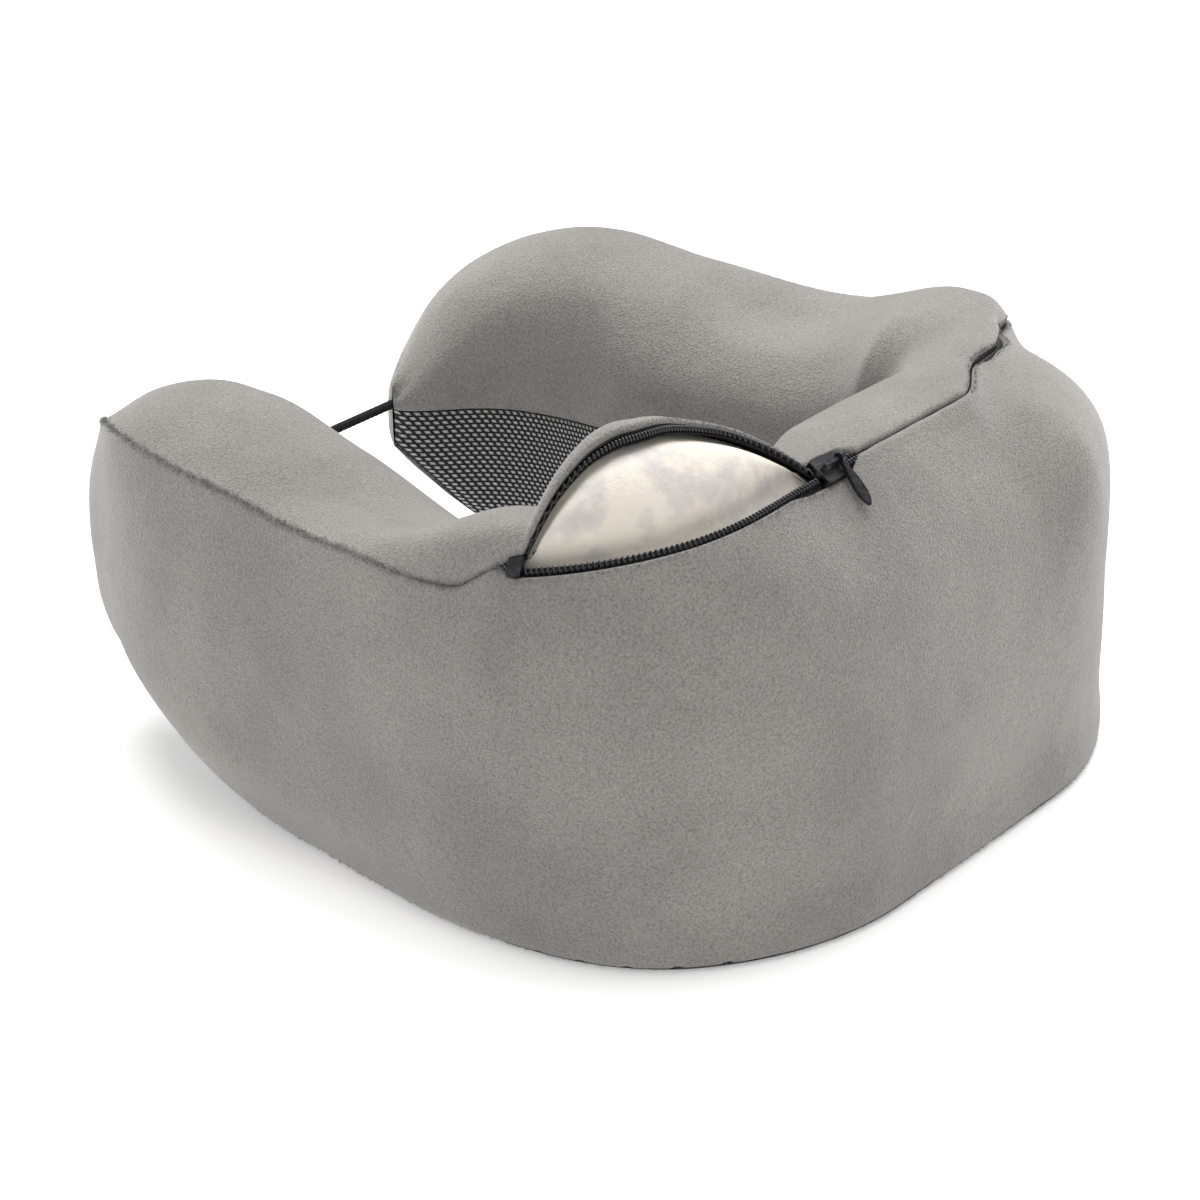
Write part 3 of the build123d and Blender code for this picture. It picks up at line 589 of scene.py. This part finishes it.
def lip_gap(u):
    """Half the gap between the velour edges along the zipper at rest; 0 where the seam is sewn."""
    wavy = window(u, *WAVY_SPAN) * (0.5 + 0.5 * math.sin(u * 95))
    wobble = GAP_WOBBLE * noise.noise(Vector((u * 40, 3.0, 1.0)))
    closed = max(GAP_CLOSED * (1 + wavy) + wobble, GAP_LEAST)
    opened = GAP_MOUTH + (GAP_SLIDER - GAP_MOUTH) * smooth((u + 0.15) / 0.03)
    by_slider = smooth((u * SPINE_LENGTH - LIP_START) / LIP_CLOSES)
    gap = opened + (closed - opened) * by_slider
    return gap * window(u, -ZIP_END - GAP_PAST_END, GAP_FADE, ZIP_END, GAP_FADE)


def panel_gap(u):
    """The same for the fixed panels, which stay open over the slider's whole travel."""
    x, gap = u * SPINE_LENGTH, lip_gap(u)
    if SLIDER_X < x < TRAVEL_END + 14:
        gap += (GAP_UNDER_LIPS - gap) * (1 - smooth((x - (TRAVEL_END + 6)) / 6.0))
    return gap


def edge_depth(d, radius):
    """How far a rolled edge has turned in, at distance d from it."""
    d = np.clip(d, 0, radius)
    return radius - np.sqrt(radius ** 2 - (radius - d) ** 2)


EDGE_STEPS = np.array([0, 0.12, 0.3, 0.6, 1.0, 1.6, 2.4, 3.6])


def edge_steps(length, n_mid, shrink):
    """Lengths across a panel, crowded near its edges."""
    a = shrink * EDGE_STEPS
    b = length - a[::-1]
    return np.concatenate([a, np.linspace(a[-1], b[0], n_mid + 2)[1:-1], b])


def flat_zone(u):
    """1 over the slider's travel, where the panels' edges lie flat under the lips, else 0."""
    return window(u * SPINE_LENGTH, SLIDER_X, 7.0, TRAVEL_END + 8, 5.0)


def panel_grid(us, run, seam_first, seam_last, n_mid, roll_first, roll_last):
    """Rows of a panel: run(p) gives its line, and seam_first(u) and seam_last(u) how far it stops short."""
    rows, uvs = [], []
    for u in us:
        p = station(u)
        line = run(p)
        g0, g1 = seam_first(u), seam_last(u)
        length = arc(line)[-1] - g0 - g1
        shrink = min(1.0, max(length, 0.5) / 16.0)
        steps = edge_steps(length, n_mid, shrink)
        point, inward = at_arc(line, steps + g0)
        roll0, roll1 = (max(r * shrink * (1 - (flat_zone(u) if g > 0 else 0)), 0.05)
                        for r, g in ((roll_first, g0), (roll_last, g1)))
        depth = edge_depth(steps, roll0) + edge_depth(steps[-1] - steps, roll1)
        rows.append(world(p, point + depth[:, None] * inward))
        uvs.append(np.stack([np.full(len(steps), u * SPINE_LENGTH), steps + g0], axis=1) * MM)
    return np.array(rows), np.array(uvs)


EDGE_COLUMNS = 7.0      # columns of a panel grid that its crowded edge takes


def rumple(grid, amount, size, seed):
    """Soft lumps over a fabric grid, fading towards its sewn edges."""
    lumps = value_noise(grid, size, seed) * amount + value_noise(grid, size * 0.4, seed + 4) * amount * 0.35
    v = np.arange(grid.shape[1])
    fade = np.clip(np.minimum(v, v[::-1]) / EDGE_COLUMNS, 0, 1)
    return grid + grid_normals(grid) * (lumps * fade)[..., None] * MM


def sewn(_):
    return 0.0


US = whole_stations(760)

# ---------------------------------------------------------------- cover panels
outer_grid, outer_uv = panel_grid(US, lambda p: wall_run(p)[FOOT_PART:], sewn, panel_gap, 62, 1.0, 1.5)
outer_grid = rumple(outer_grid, 0.5, 0.034, 2.0)
PINCH_PITCH, PINCH_RISE = 9.0, 1.9      # the hem's scallops under the near corner
hem = np.clip(1 - np.arange(outer_grid.shape[1]) / EDGE_COLUMNS, 0, 1)
pinch = np.array([max(0.0, math.cos(u * SPINE_LENGTH * TURN / PINCH_PITCH)) ** 6
                  * window(-u, *PINCH_SPAN) for u in US])
outer_grid[..., 2] += PINCH_RISE * MM * pinch[:, None] * hem ** 2
outer = grid_piece("cover_outer_wall", outer_grid, VELOUR, outer_uv)
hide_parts("outer_panel")

top_grid, top_uv = panel_grid(US, flap_run, panel_gap, sewn, 70, 1.5, 1.0)
top_grid = rumple(top_grid, 0.45, 0.030, 5.0)
top = grid_piece("cover_top", top_grid, VELOUR, top_uv)
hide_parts("top_panel")

lining_grid, lining_uv = panel_grid(US, lambda p: top_run(p)[TOP_PART:], sewn, sewn, 30, 1.0, 1.0)
lining = grid_piece("inner_mesh_wall", lining_grid, MESH, lining_uv)
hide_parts("mesh_panel")

base_grid, base_uv = panel_grid(US, lambda p: wall_run(p)[:FOOT_PART + 1], sewn, sewn, 24, 0.6, 0.6)
base_grid[..., 2] = np.maximum(base_grid[..., 2], 0.0)
base = grid_piece("base_cloth", base_grid, BASE, base_uv)
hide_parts("base_panel")


# ---------------------------------------------------------------- turned-in edges along the zipper
def beside_zip(p, upper, where):
    """Points on the cover at these lengths from the zipper seam, and their inward normals."""
    point, inward = at_arc(flap_run(p) if upper else wall_run(p)[::-1], np.asarray(where))
    return point, inward if upper else -inward


EDGE_REACH = np.array([0.0, 0.0, 0.15, 0.45, 0.9, 1.6, 3.0, 5.0])
EDGE_DEPTH = np.array([1.5, 1.9, 2.35, 2.7, 2.9, 2.95, 2.95, 2.95])
ZIP_SECTIONS = np.linspace(-ZIP_END, ZIP_END, 420)


def turned_edge(name, upper):
    """The velour's edge rolled under itself, coloured near black as painted shade in the zipper's slit."""
    rows = []
    for u in ZIP_SECTIONS:
        p = station(u)
        point, inward = beside_zip(p, upper, EDGE_REACH + panel_gap(u))
        rows.append(world(p, point + EDGE_DEPTH[:, None] * inward))
    # near-black colour here is painted shade in the slit
    grid_piece(name, np.array(rows), BACKING_PAINTED_SHADE, flip=upper)


turned_edge("turned_edge_top", True)
turned_edge("turned_edge_wall", False)


BACKING_STEPS, BACKING_DEPTH, BACKING_START = np.linspace(9.0, 62.0, 30), 2.3, -0.39


def flap_backing():
    """The flap's inside, seen under it in the mouth, coloured near black as painted shade under the lifted
    flap.
    """
    rows, uvs = [], []
    for u in np.linspace(BACKING_START, MOUTH_END, 150):
        p = station(u)
        point, inward = beside_zip(p, True, BACKING_STEPS)
        rows.append(world(p, point + BACKING_DEPTH * inward))
        along = np.full(len(BACKING_STEPS), u * SPINE_LENGTH)
        uvs.append(np.stack([along, BACKING_STEPS], axis=1) * MM)
    # near-black colour here is painted shade under the flap
    grid_piece("flap_backing", np.array(rows), BACKING_PAINTED_SHADE, np.array(uvs), flip=True)


flap_backing()

LIP_STEPS = np.array([0, 0.02, 0.05, 0.1, 0.16, 0.25, 0.38, 0.55, 0.75, 1.0])
TUCK_REACH, TUCK_DEPTH = np.array([0.8, 0.2, 0.0]), np.array([2.6, 2.3, 1.9])
LIP_OVERLAP, LIP_ROLL, LIP_PARTED = 2.5, 1.4, 5.4
LIP_PROUD, LIP_SINK = 0.12, 0.30       # above the panel at its edge, and lower at its back


def lip(name, upper):
    """A velour lip over the closed zipper, which draws back as the slider passes."""
    rows = []
    for u in np.linspace(LIP_START / SPINE_LENGTH, LIP_END / SPINE_LENGTH, 150):
        p = station(u)
        g = lip_gap(u)
        width = max(panel_gap(u) + LIP_OVERLAP - g, 0.05)
        steps = width * LIP_STEPS
        point, inward = beside_zip(p, upper, steps + g)
        depth = edge_depth(steps, min(LIP_ROLL, width)) - LIP_PROUD + LIP_SINK * LIP_STEPS ** 3
        below, way = beside_zip(p, upper, g + TUCK_REACH)
        tucked = below + TUCK_DEPTH[:, None] * way
        rows.append(world(p, np.concatenate([tucked, point + depth[:, None] * inward])))
    piece = grid_piece(name, np.array(rows), VELOUR, flip=not upper)
    p = station(0)
    edge, across, _ = zip_frame(p, False)
    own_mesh(piece)


lip("lip_top", True)
lip("lip_wall", False)


# ---------------------------------------------------------------- pile standing along the seams and edges
def seam_point(kind, u, jitter):
    """A place near a seam with its outward normal: top, mesh, foot, or a rim of the zipper."""
    p = station(u)
    if kind == "top":
        edge, across, normal = zip_frame(p, False)
        return p, edge + across * jitter - 1.1 * normal, normal
    if kind in ("rim_top", "rim_wall"):
        point, inward = beside_zip(p, kind == "rim_top", [panel_gap(u) + 0.35 + abs(jitter)])
        return p, point[0] + 0.8 * inward[0], -inward[0]
    line = top_run(p)[TOP_PART:] if kind == "mesh" else wall_run(p)[FOOT_PART:]
    point, inward = at_arc(line, np.array([0.2 + abs(jitter) * 0.5]))
    return p, point[0] + 0.5 * inward[0], -inward[0]


FIBRE_HALF = 0.00007       # half a fibre's width


def pile(name, kind, first, last, per_mm, length, seed):
    """Many short fibres, each a thin blade that leans a little, along a seam; coloured darker than the
    velour, partly their own colour and partly painted shade in the seam's groove.
    """
    rng = np.random.default_rng(seed)
    verts, faces = [], []
    count = int((last - first) * SPINE_LENGTH * per_mm)
    for u in np.sort(rng.uniform(first, last, count)):
        p, root, normal = seam_point(kind, u, rng.normal(0, 0.55))
        base = world(p, root)
        out = world(p, root + normal) - base
        out = out / np.linalg.norm(out) + rng.normal(0, 0.42, 3)
        out /= np.linalg.norm(out)
        side = np.cross(out, rng.normal(0, 1, 3))
        side *= FIBRE_HALF / np.linalg.norm(side)
        tall = length * rng.uniform(0.55, 1.15) * MM
        bend = rng.normal(0, 0.16, 3) * tall
        k = len(verts)
        verts += [base - side, base + side, base + out * tall * 0.6 + side * 0.8,
                  base + out * tall * 0.6 - side * 0.8, base + out * tall + bend]
        faces += [(k, k + 1, k + 2, k + 3), (k + 3, k + 2, k + 4)]
    # the fibres take the darker pile colour, painted shade along the seam
    add_piece(name, verts, faces, PILE_WITH_SEAM_SHADE)


pile("pile_top_seam", "top", -PILE_END, -ZIP_END, 22, 2.0, 11)
pile("pile_far_seam", "top", ZIP_END, PILE_END, 16, 1.2, 18)
pile("pile_mouth_rim", "rim_top", -ZIP_END, MOUTH_END, 14, 1.0, 12)
pile("pile_wall_rim", "rim_wall", -ZIP_END, MOUTH_END, 14, 1.5, 13)
pile("pile_corner_lips", "rim_top", CORNER_START, ZIP_END, 10, 1.2, 14)
pile("pile_corner_lips_wall", "rim_wall", CORNER_START, ZIP_END, 10, 1.2, 15)
pile("pile_mesh_seam", "mesh", -PILE_END, PILE_END, 8, 1.1, 16)
pile("pile_foot", "foot", -PILE_END, PILE_END, 8, 1.3, 17)


# ---------------------------------------------------------------- foam core
FOAM_INSET, FOAM_AT_ZIP, FOAM_ZIP_WIDTH, FOAM_SWELL = 3.4, 2.4, 6.0, 4.5


def foam_rows(count):
    """Rings of the foam: it lies under the cover, and bulges between the mouth's two edges."""
    rows = []
    for u in whole_stations(count) * FOAM_END:
        p = station(u)
        wall, flap, mesh = wall_run(p), flap_run(p), top_run(p)[TOP_PART:]
        across = flap[0] - wall[-1]
        wide = np.hypot(*across)
        w = np.linspace(0, 1, 26)[1:-1, None]
        swell = min(FOAM_SWELL, 0.16 * wide)
        outwards = np.array([across[1], -across[0]]) / max(wide, 1e-6)
        bulge = wall[-1] + w * across + 4 * w * (1 - w) * swell * outwards
        closed = np.concatenate([wall, bulge, flap, mesh[1:-1], wall[:1]])
        s = arc(closed)
        where = np.linspace(0, s[-1], 170, endpoint=False)
        point, inward = at_arc(closed, where)
        edges = (len(wall) - 1, len(wall) + len(bulge))
        by_zip = [np.exp(-((where - s[k]) / FOAM_ZIP_WIDTH) ** 2) for k in edges]
        depth = FOAM_INSET + FOAM_AT_ZIP * np.maximum(*by_zip)
        rows.append(world(p, point + np.minimum(depth, 0.6 * p.inn)[:, None] * inward))
    return np.array(rows)


foam_grid = foam_rows(420)
foam_grid += grid_normals(foam_grid) * (value_noise(foam_grid, 0.022, 9.0) * 0.5 * MM)[..., None]
foam = add_piece("foam_block", foam_grid.reshape(-1, 3), capped_faces(*foam_grid.shape[:2]), FOAM)
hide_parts("foam_core")


# ---------------------------------------------------------------- zipper tapes, coils and stops
# steps across a tape from the zipper's middle, and its depths and thickness
TAPE_NEAR, TAPE_FAR = (0.45, 1.5, 2.8, 4.2), (6.5, 9.0, 12.0)
TAPE_DEEP, TAPE_UNDER, TAPE_THICK, TAPE_STEP = 3.4, 3.2, 0.5, 1.8


def tape(name, upper, node):
    """A tape that lies flat beside the coil and then under its panel."""
    rows, uvs = [], []
    side = 1 if upper else -1
    there = np.arange(len(TAPE_NEAR + TAPE_FAR))
    width = np.concatenate([there, there[::-1]]) * TAPE_STEP
    for u in ZIP_SECTIONS:
        p = station(u)
        edge, across, normal = zip_frame(p, upper)
        near = [edge + side * y * across - TAPE_DEEP * normal for y in TAPE_NEAR]
        far, inward = beside_zip(p, upper, TAPE_FAR)
        outer = np.array(near + list(far + inward * TAPE_UNDER))
        normal_in = np.array([-normal] * len(near) + list(inward))
        rows.append(world(p, np.concatenate([outer, (outer + TAPE_THICK * normal_in)[::-1]])))
        uvs.append(np.stack([np.full(len(width), u * SPINE_LENGTH), width], axis=1) * MM)
    piece = grid_piece(name, np.array(rows), TAPE, np.array(uvs), wrap=True, flip=upper)
    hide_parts(node)


tape("tape_lower", False, "zipper_tape_lower")
tape("tape_upper", True, "zipper_tape_upper")

TOOTH, WIRE = 1.27, 0.33        # the coil's pitch, and its wire's radius
COIL_WIDE, COIL_HIGH, COIL_DEEP = 0.72, 0.66, 2.4
PER_TURN, RING = 14, 6
OPEN_ROW, CLOSED_ROW = 1.25, 0.85
STOP_ROOM = 0.012       # the stops take this much of each end


def coil_rows(name, first, last, rows_at, node):
    """Flattened helix of monofilament along the zipper; rows_at gives each row's side, offset and phase."""
    blocks, faces = [], []
    turns = int((last - first) * SPINE_LENGTH / TOOTH)
    count = turns * PER_TURN + 1
    ticks = np.linspace(first, last, count)
    knots = np.linspace(first, last, max(turns, 8))
    for upper, offset, phase in rows_at:
        table = []
        for u in knots:
            p = station(u)
            edge, across, normal = zip_frame(p, upper)
            middle = world(p, edge)
            table.append((middle, world(p, edge + across) - middle, world(p, edge + normal) - middle))
        table = np.array(table)
        middle, across, normal = (
            np.stack([np.interp(ticks, knots, table[:, k, i]) for i in range(3)], axis=1) for k in range(3))
        across /= np.linalg.norm(across, axis=1, keepdims=True)
        normal /= np.linalg.norm(normal, axis=1, keepdims=True)
        angle = np.linspace(0, turns * TURN, count) + phase
        y = offset + COIL_WIDE * np.cos(angle)
        z = COIL_HIGH * np.sin(angle) - COIL_DEEP
        line = middle + across * (y * MM)[:, None] + normal * (z * MM)[:, None]
        tangent = np.gradient(line, axis=0)
        tangent /= np.linalg.norm(tangent, axis=1, keepdims=True)
        side = np.cross(tangent, np.cross(across, normal))
        side /= np.maximum(np.linalg.norm(side, axis=1, keepdims=True), 1e-9)
        other = np.cross(tangent, side)
        ring = [line + (side * math.cos(a) + other * math.sin(a)) * WIRE * MM
                for a in (TURN * k / RING for k in range(RING))]
        faces += grid_faces(count, RING, True, start=len(blocks) * count * RING)
        blocks.append(np.stack(ring, axis=1).reshape(-1, 3))
    piece = add_piece(name, np.concatenate(blocks), faces, COIL)
    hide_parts(node)
    return piece


closed_rows = [(False, -CLOSED_ROW, 0.0), (False, CLOSED_ROW, 0.0)]
open_first, open_last = -ZIP_END + STOP_ROOM, (SLIDER_X - SLIDER_END) / SPINE_LENGTH
coil_rows("coil_lower", open_first, open_last, [(False, -OPEN_ROW, 0.0)], "zipper_coil_lower")
coil_rows("coil_upper", open_first, open_last, [(True, OPEN_ROW, math.pi)], "zipper_coil_upper")
slide_end = TRAVEL_END + SLIDER_END
ahead = coil_rows("coil_closed_back", (SLIDER_X + SLIDER_END) / SPINE_LENGTH, slide_end / SPINE_LENGTH,
                  closed_rows, "zipper_coil_ahead")
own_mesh(ahead)
coil_rows("coil_closed_corner", slide_end / SPINE_LENGTH + 0.0005, ZIP_END - STOP_ROOM,
          closed_rows, "zipper_coil_closed")


# ---------------------------------------------------------------- the neck cord with its braid, and its knot
CORD_RADIUS, CORD_STEP = 0.0015, 0.00025
CARRIERS, LAY = 8, 0.0042       # the braid's strands, and the length of one strand's turn


def lengths_along(path):
    return np.concatenate([[0], np.cumsum(np.linalg.norm(np.diff(path, axis=0), axis=1))])


def cord_line(points):
    """Even points along a smooth curve through this route, and their lengths from its start."""
    data = bpy.data.curves.new("cord_route", "CURVE")
    data.dimensions = "3D"
    data.resolution_u = 24
    spline = data.splines.new("NURBS")
    spline.points.add(len(points) - 1)
    for point, co in zip(spline.points, points):
        point.co = (*[c * MM for c in co], 1)
    spline.order_u = 3
    spline.use_endpoint_u = True
    obj = bpy.data.objects.new("cord_route", data)
    bpy.context.scene.collection.objects.link(obj)
    bpy.context.view_layer.update()
    mesh = bpy.data.meshes.new_from_object(obj)
    curve = np.array([v.co for v in mesh.vertices])
    bpy.data.meshes.remove(mesh)
    bpy.data.objects.remove(obj)
    s = lengths_along(curve)
    where = np.linspace(0, s[-1], int(s[-1] / CORD_STEP) + 1)
    return np.stack([np.interp(where, s, curve[:, i]) for i in range(3)], axis=1), where


def braided_tube(name, path, reach, ring):
    """Round braid: two sets of strands that cross over and under each other round the tube."""
    tangent = np.gradient(path, axis=0)
    tangent /= np.linalg.norm(tangent, axis=1, keepdims=True)
    side = np.array([0.0, 1.0, 0.02])
    rings = []
    a = np.linspace(0, TURN, ring, endpoint=False)
    for point, t, s in zip(path, tangent, reach):
        side = side - t * side.dot(t)
        side /= np.linalg.norm(side)
        other = np.cross(t, side)
        left = np.cos(CARRIERS / 2 * a + TURN * s / LAY)
        right = np.cos(CARRIERS / 2 * a - TURN * s / LAY)
        swap = np.sin(CARRIERS * a) * np.sin(2 * TURN * s / LAY)
        height = np.where(swap > 0, np.abs(left), np.abs(right))
        r = CORD_RADIUS * (0.87 + 0.13 * height)
        rings.append(point + np.outer(r * np.cos(a), side) + np.outer(r * np.sin(a), other))
    grid = np.array(rings)
    uv = np.stack(np.broadcast_arrays(reach[:, None], a * CORD_RADIUS), axis=2)
    return add_piece(name, grid.reshape(-1, 3), capped_faces(*grid.shape[:2]), CORD, uv.reshape(-1, 2))


path, reach = cord_line(CORD_ROUTE)
cord = braided_tube("neck_cord_braid", path, reach, 40)
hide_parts("neck_cord")

KNOT_SIZE = 0.00105     # a trefoil at the cord's end
t = np.linspace(0, TURN, 170)
loops = [np.sin(t) + 1.7 * np.sin(2 * t), 1.3 * np.sin(3 * t), np.cos(t) - 1.7 * np.cos(2 * t)]
knot_path = np.stack(loops, axis=1) * KNOT_SIZE + np.array(CORD_ROUTE[-1]) * MM
knot = braided_tube("cord_end_knot", knot_path, lengths_along(knot_path), 28)
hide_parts("cord_knot")

# ---------------------------------------------------------------- webbing loop and tab, lock, slider, pull
def dress(node, material, bevel=0.0, segments=2):
    """A CAD node as it is, with its material and, if given, rounded edges."""
    obj = frame["nodes"][node]
    obj.data.materials.clear()
    obj.data.materials.append(material)
    if bevel:
        mod = obj.modifiers.new("edges", "BEVEL")
        mod.width = bevel
        mod.segments = segments
        mod.limit_method = "ANGLE"
        mod.angle_limit = math.radians(35)
    return obj


dress("zipper_slider", METAL, 0.00018)
dress("zipper_pull_tab", METAL, 0.00022)
dress("zipper_stop_left", METAL, 0.0009, 3)
dress("zipper_stop_right", METAL, 0.0009, 3)
dress("cord_lock_body", LOCK)
dress("cord_lock_plunger", LOCK)
spring = dress("cord_lock_spring", STEEL)
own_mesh(spring)
dress("cord_anchor", WEBBING, 0.0004)
dress("cord_loop", WEBBING, 0.0003)


# ---------------------------------------------------------------- floor and light
def add_light(place, look, size, power):
    """One broad square light over the front, which leaves the near side in its own shade."""
    data = bpy.data.lights.new("key", "AREA")
    data.shape = "SQUARE"
    data.size = size
    data.energy = power
    obj = bpy.data.objects.new("key", data)
    obj.location = place
    obj.rotation_euler = (Vector(look) - Vector(place)).to_track_quat("-Z", "Y").to_euler()
    bpy.context.scene.collection.objects.link(obj)


def add_floor(half, height):
    mesh = bpy.data.meshes.new("floor")
    corners = [(-half, -half), (half, -half), (half, half), (-half, half)]
    mesh.from_pydata([(x, y, height) for x, y in corners], [], [(0, 1, 2, 3)])
    m = Nodes("floor_white")
    m.colour(m.ramp(m.noise(3, 2), [(0.3, grey(0.93)), (0.7, grey(0.95))]))
    m.set(Roughness=0.9, Specular_IOR_Level=0.1, Emission_Strength=0.36)
    m.shader.inputs["Emission Color"].default_value = (1, 1, 1, 1)
    mesh.materials.append(m.material)
    obj = bpy.data.objects.new("floor", mesh)
    bpy.context.scene.collection.objects.link(obj)


add_floor(6.0, -0.0004)
sky = bpy.data.worlds.new("studio")
sky.use_nodes = True
sky.node_tree.nodes["Background"].inputs["Color"].default_value = (1, 1, 1, 1)
sky.node_tree.nodes["Background"].inputs["Strength"].default_value = 0.53
bpy.context.scene.world = sky
add_light((0.45, 0.35, 1.6), (0, 0, 0.05), 1.6, 38)
bpy.context.scene.view_settings.view_transform = "Standard"
